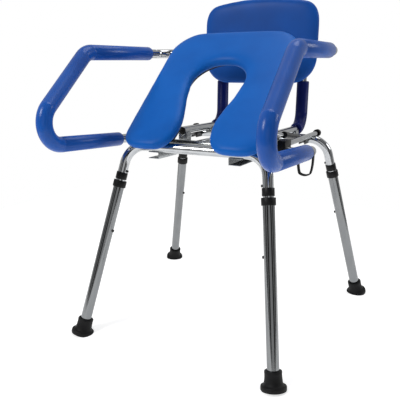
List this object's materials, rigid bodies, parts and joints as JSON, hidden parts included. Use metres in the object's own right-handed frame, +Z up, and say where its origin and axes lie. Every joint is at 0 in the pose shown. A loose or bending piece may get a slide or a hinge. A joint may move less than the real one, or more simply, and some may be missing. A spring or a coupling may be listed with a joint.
{
  "type": "lift-assist shower chair",
  "caption": "Shower stool with a padded, keyhole-shaped tilting seat, arm loops, a padded backrest and legs that adjust in height.",
  "frame": {"origin": "on the floor, under the middle of the overall box, with the seat raised", "axes": "+Z up, front of the chair towards -Y, +X to the chair's left as seen by the person sitting on it"},
  "size_m": [0.75, 0.7754, 0.915],
  "materials": {
    "chrome_tube": "bright chrome plate",
    "frame_tube": "silver, satin anodised",
    "zinc_steel": "zinc plated steel",
    "black_steel": "black powder coat",
    "grey_steel": "grey powder coat",
    "black_plastic": "matte moulded plastic",
    "black_rubber": "matte rubber",
    "blue_pad": "self-skinned polyurethane foam, satin",
    "blue_foam": "closed-cell foam sleeve",
    "dark_foam": "closed-cell foam sleeve, very dark blue",
    "webbing": "woven webbing",
    "gas_rod": "polished rod"
  },
  "bodies": {
    "base": {"front_frame": "frame_tube", "rear_frame": "frame_tube", "front_brace": "grey_steel", "rear_brace": "grey_steel", "stop_studs": "black_plastic", "rest_pads": "black_rubber", "side_tube_plugs": "black_plastic", "spring_brackets": "black_steel", "back_frame": "black_steel", "back_clamps": "black_plastic", "back_supports": "grey_steel", "back_leg_plugs": "black_plastic", "backrest_board": "black_plastic", "backrest_bolts": "zinc_steel", "backrest_pad": "blue_pad", "upper_collar_front_right": "black_plastic", "upper_collar_front_left": "black_plastic", "upper_collar_rear_right": "black_plastic", "upper_collar_rear_left": "black_plastic", "side_tube_right": "chrome_tube", "channel_right": "grey_steel", "bearing_block_right": "black_plastic", "post_foam_right": "dark_foam", "side_tube_left": "chrome_tube", "channel_left": "grey_steel", "bearing_block_left": "black_plastic", "post_foam_left": "dark_foam"},
    "seat": {"seat_pad": "blue_pad", "seat_pan": "black_plastic", "pan_bolts": "zinc_steel", "seat_axle": "zinc_steel", "crank_pins": "zinc_steel", "arm_plugs": "black_plastic", "seat_strap": "webbing", "hinge_plate_right": "grey_steel", "arm_tube_right": "chrome_tube", "arm_foam_right": "blue_foam", "hinge_plate_left": "grey_steel", "arm_tube_left": "chrome_tube", "arm_foam_left": "blue_foam"},
    "gas_cylinders": {"spring_cylinder_right": "black_steel", "spring_cylinder_left": "black_steel"},
    "gas_rods": {"spring_rod_right": "gas_rod", "spring_rod_left": "gas_rod"},
    "leg_front_right": {"leg_tube_front_right": "frame_tube", "lower_collar_front_right": "black_plastic", "foot_tip_front_right": "black_rubber"},
    "button_front_right": {"snap_button_front_right": "black_plastic"},
    "leg_front_left": {"leg_tube_front_left": "frame_tube", "lower_collar_front_left": "black_plastic", "foot_tip_front_left": "black_rubber"},
    "button_front_left": {"snap_button_front_left": "black_plastic"},
    "leg_rear_right": {"leg_tube_rear_right": "frame_tube", "lower_collar_rear_right": "black_plastic", "foot_tip_rear_right": "black_rubber"},
    "button_rear_right": {"snap_button_rear_right": "black_plastic"},
    "leg_rear_left": {"leg_tube_rear_left": "frame_tube", "lower_collar_rear_left": "black_plastic", "foot_tip_rear_left": "black_rubber"},
    "button_rear_left": {"snap_button_rear_left": "black_plastic"}
  },
  "joints": [
    {"name": "seat_tilt", "type": "hinge", "parent": "base", "child": "seat", "pos_m": [0, -0.06085, 0.51], "axis": [-1, 0, 0], "range_deg": [0, 42], "stiffness_Nm_per_rad": 30, "springref_deg": -57.3},
    {"name": "gas_swing", "type": "hinge", "parent": "base", "child": "gas_cylinders", "pos_m": [0, 0.20815, 0.508], "axis": [-1, 0, 0], "range_deg": [0, 1.56]},
    {"name": "gas_stroke", "type": "slide", "parent": "gas_cylinders", "child": "gas_rods", "axis": [0, 0.9878, -0.1557], "range_m": [0, 0.03197]},
    {"name": "leg_slide_front_right", "type": "slide", "parent": "base", "child": "leg_front_right", "axis": [0.1547, -0.2424, -0.9578], "range_m": [0, 0.075]},
    {"name": "leg_slide_front_left", "type": "slide", "parent": "base", "child": "leg_front_left", "axis": [-0.1547, -0.2424, -0.9578], "range_m": [0, 0.075]},
    {"name": "leg_slide_rear_right", "type": "slide", "parent": "base", "child": "leg_rear_right", "axis": [0.2062, 0.2168, -0.9542], "range_m": [0, 0.075]},
    {"name": "leg_slide_rear_left", "type": "slide", "parent": "base", "child": "leg_rear_left", "axis": [-0.2062, 0.2168, -0.9542], "range_m": [0, 0.075]},
    {"name": "button_press_front_right", "type": "slide", "parent": "leg_front_right", "child": "button_front_right", "axis": [0.988, 0.038, 0.15], "range_m": [0, 0.0035], "stiffness_N_per_m": 500, "springref_m": -0.003},
    {"name": "button_press_front_left", "type": "slide", "parent": "leg_front_left", "child": "button_front_left", "axis": [-0.988, 0.038, 0.15], "range_m": [0, 0.0035], "stiffness_N_per_m": 500, "springref_m": -0.003},
    {"name": "button_press_rear_right", "type": "slide", "parent": "leg_rear_right", "child": "button_rear_right", "axis": [0.9785, -0.0457, 0.2011], "range_m": [0, 0.0035], "stiffness_N_per_m": 500, "springref_m": -0.003},
    {"name": "button_press_rear_left", "type": "slide", "parent": "leg_rear_left", "child": "button_rear_left", "axis": [-0.9785, -0.0457, 0.2011], "range_m": [0, 0.0035], "stiffness_N_per_m": 500, "springref_m": -0.003}
  ],
  "couplings": [
    {"joint": "gas_swing", "follows": "seat_tilt", "ratio": 0.037179},
    {"joint": "gas_stroke", "follows": "seat_tilt", "m_per_rad": 0.043619}
  ]
}
